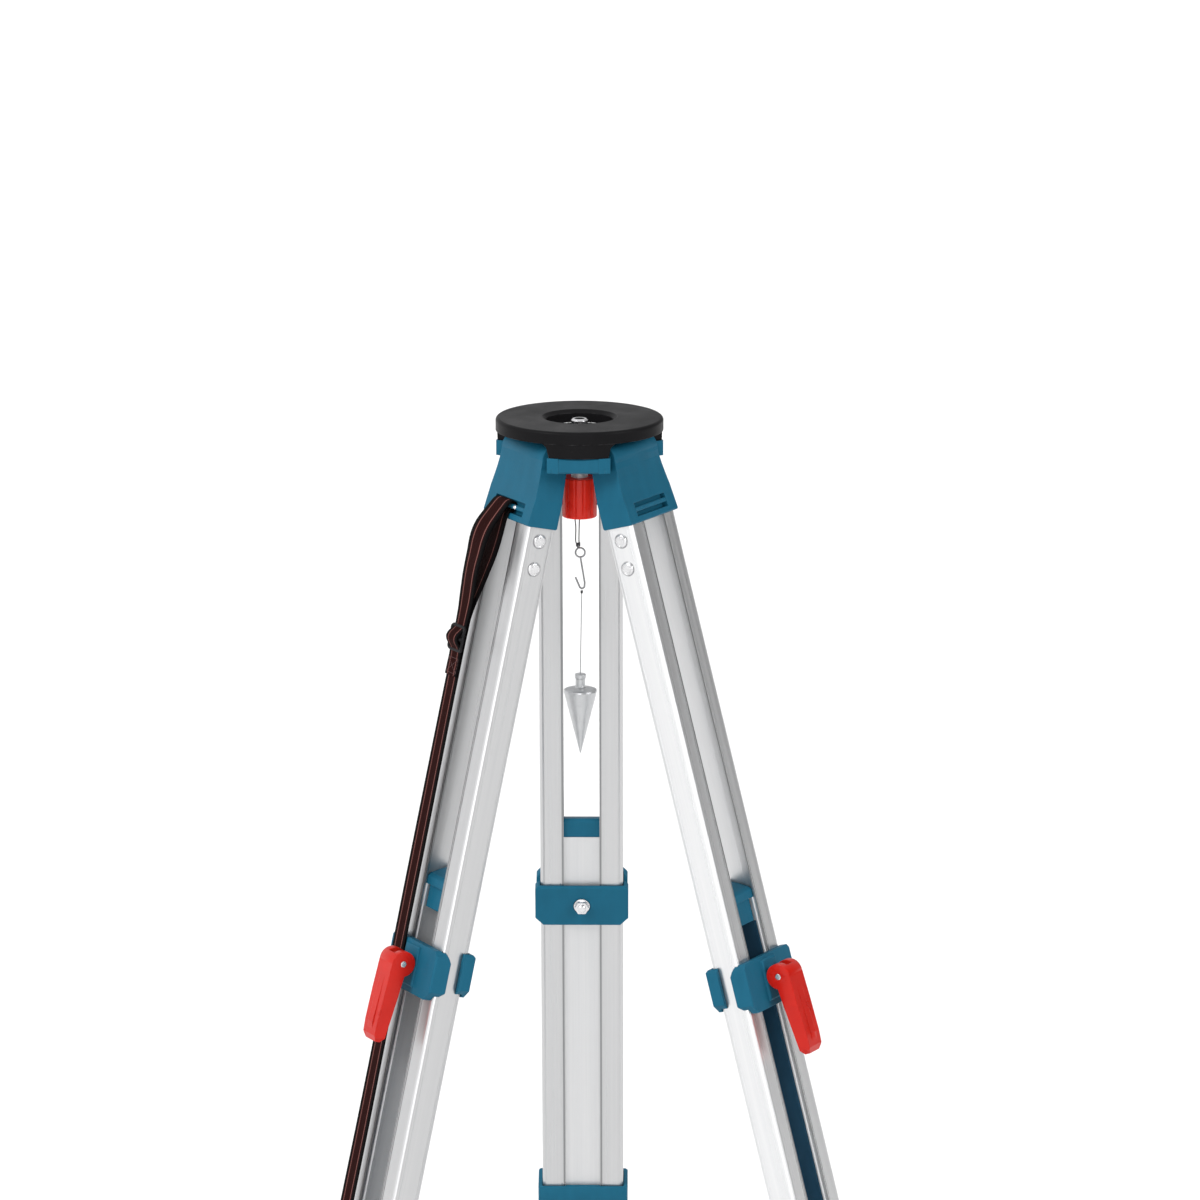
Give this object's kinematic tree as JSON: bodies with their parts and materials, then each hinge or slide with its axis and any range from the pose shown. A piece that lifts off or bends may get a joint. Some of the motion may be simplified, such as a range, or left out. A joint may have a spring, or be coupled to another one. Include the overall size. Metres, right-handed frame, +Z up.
{
  "type": "surveyor tripod",
  "caption": "Builder's surveying tripod: flat round head with a centring screw and plumb bob, hinged telescopic metal legs with lever clamps, pointed feet and a carry strap.",
  "frame": {"origin": "on the axis of the instrument screw, halfway down its free end and 6.5 mm below the head's top face; the ground is 1295 mm below that face, with the legs spread and part extended as in use", "axes": "+Z up through the instrument screw; +Y towards the rear leg; the other two legs at 120 degrees to it"},
  "size_m": [0.7141, 0.6299, 1.295],
  "materials": {
    "head_black": "satin black coating",
    "moulding_blue": "moulded blue, fine grain",
    "strip_blue": "dark blue, smooth",
    "rail_aluminium": "satin anodised, drawn lengthwise",
    "steel_bright": "bright zinc",
    "steel_dark": "blackened",
    "knob_red": "gloss moulded red",
    "lever_red": "gloss moulded red",
    "cord_grey": "braided",
    "bob_grey": "turned and plated",
    "strap_webbing": "woven, two thin stripes",
    "buckle_black": "moulded black"
  },
  "bodies": {
    "head": {"head_plate": "head_black", "hinge_bearing_caps": "moulding_blue", "cap_screws": "steel_dark", "hinge_axles": "steel_bright", "arm_pivot_screw": "steel_bright"},
    "centring_arm": {"centring_arm": "steel_dark"},
    "screw_carrier": {"screw_bush": "steel_bright"},
    "centre_screw": {"centre_screw": "steel_bright", "screw_knob": "knob_red"},
    "plumb_cord": {"plumb_cord_loop": "cord_grey", "plumb_hook": "steel_bright"},
    "plumb_bob": {"plumb_line": "cord_grey", "plumb_bob": "bob_grey"},
    "leg_rear": {"leg_casting_rear": "moulding_blue", "rails_rear": "rail_aluminium", "rail_rivets_rear": "steel_bright", "rail_end_shoe_rear": "moulding_blue"},
    "extension_rear": {"inner_leg_rear": "rail_aluminium", "inner_leg_cap_rear": "moulding_blue", "inner_leg_liner_rear": "strip_blue", "clamp_bracket_rear": "moulding_blue", "clamp_band_rear": "moulding_blue", "clamp_bolt_rear": "steel_bright", "clamp_nut_rear": "steel_bright", "lever_pin_rear": "steel_bright", "foot_casting_rear": "moulding_blue", "foot_point_rear": "steel_bright"},
    "lever_rear": {"clamp_lever_rear": "lever_red"},
    "leg_left": {"leg_casting_left": "moulding_blue", "rails_left": "rail_aluminium", "rail_rivets_left": "steel_bright", "rail_end_shoe_left": "moulding_blue", "carry_strap": "strap_webbing", "strap_slide": "buckle_black"},
    "extension_left": {"inner_leg_left": "rail_aluminium", "inner_leg_cap_left": "moulding_blue", "inner_leg_liner_left": "strip_blue", "clamp_bracket_left": "moulding_blue", "clamp_band_left": "moulding_blue", "clamp_bolt_left": "steel_bright", "clamp_nut_left": "steel_bright", "lever_pin_left": "steel_bright", "foot_casting_left": "moulding_blue", "foot_point_left": "steel_bright"},
    "lever_left": {"clamp_lever_left": "lever_red"},
    "leg_right": {"leg_casting_right": "moulding_blue", "rails_right": "rail_aluminium", "rail_rivets_right": "steel_bright", "rail_end_shoe_right": "moulding_blue"},
    "extension_right": {"inner_leg_right": "rail_aluminium", "inner_leg_cap_right": "moulding_blue", "inner_leg_liner_right": "strip_blue", "clamp_bracket_right": "moulding_blue", "clamp_band_right": "moulding_blue", "clamp_bolt_right": "steel_bright", "clamp_nut_right": "steel_bright", "lever_pin_right": "steel_bright", "foot_casting_right": "moulding_blue", "foot_point_right": "steel_bright"},
    "lever_right": {"clamp_lever_right": "lever_red"}
  },
  "joints": [
    {"name": "arm_swivel", "type": "hinge", "parent": "head", "child": "centring_arm", "pos_m": [0, -0.047, -0.0055], "axis": [0, 0, 1], "range_deg": [-8, 8]},
    {"name": "screw_shift", "type": "slide", "parent": "centring_arm", "child": "screw_carrier", "axis": [0, 1, 0], "range_m": [-0.0118, 0.0118]},
    {"name": "screw_turn", "type": "hinge", "parent": "screw_carrier", "child": "centre_screw", "pos_m": [0, 0, -0.0435], "axis": [0, 0, 1], "continuous": true},
    {"name": "plumb_swing_fore_aft", "type": "hinge", "parent": "centre_screw", "child": "plumb_cord", "pos_m": [0, 0, -0.0912], "axis": [-1, 0, 0], "range_deg": [-3, 3]},
    {"name": "plumb_swing_sideways", "type": "hinge", "parent": "plumb_cord", "child": "plumb_bob", "pos_m": [0.002, 0, -0.162], "axis": [0, -1, 0], "range_deg": [-5, 5]},
    {"name": "leg_spread_rear", "type": "hinge", "parent": "head", "child": "leg_rear", "pos_m": [0, 0.049, -0.0235], "axis": [1, 0, 0], "range_deg": [-14.3, 15]},
    {"name": "leg_slide_rear", "type": "slide", "parent": "leg_rear", "child": "extension_rear", "axis": [0, 0.247, -0.969], "range_m": [-0.3, 0.29]},
    {"name": "lever_open_rear", "type": "hinge", "parent": "extension_rear", "child": "lever_rear", "pos_m": [0, 0.21155, -0.50734], "axis": [1, 0, 0], "range_deg": [0, 110]},
    {"name": "leg_spread_left", "type": "hinge", "parent": "head", "child": "leg_left", "pos_m": [-0.04244, -0.0245, -0.0235], "axis": [-0.5, 0.866, 0], "range_deg": [-13.1, 15]},
    {"name": "leg_slide_left", "type": "slide", "parent": "leg_left", "child": "extension_left", "axis": [-0.1963, -0.1133, -0.974], "range_m": [-0.3, 0.29]},
    {"name": "lever_open_left", "type": "hinge", "parent": "extension_left", "child": "lever_left", "pos_m": [-0.17309, -0.09994, -0.50417], "axis": [-0.5, 0.866, 0], "range_deg": [0, 110]},
    {"name": "leg_spread_right", "type": "hinge", "parent": "head", "child": "leg_right", "pos_m": [0.04244, -0.0245, -0.0235], "axis": [-0.5, -0.866, 0], "range_deg": [-15.8, 15]},
    {"name": "leg_slide_right", "type": "slide", "parent": "leg_right", "child": "extension_right", "axis": [0.2358, -0.1361, -0.9622], "range_m": [-0.3, 0.29]},
    {"name": "lever_open_right", "type": "hinge", "parent": "extension_right", "child": "lever_right", "pos_m": [0.1963, -0.11333, -0.51179], "axis": [-0.5, -0.866, 0], "range_deg": [0, 110]}
  ]
}
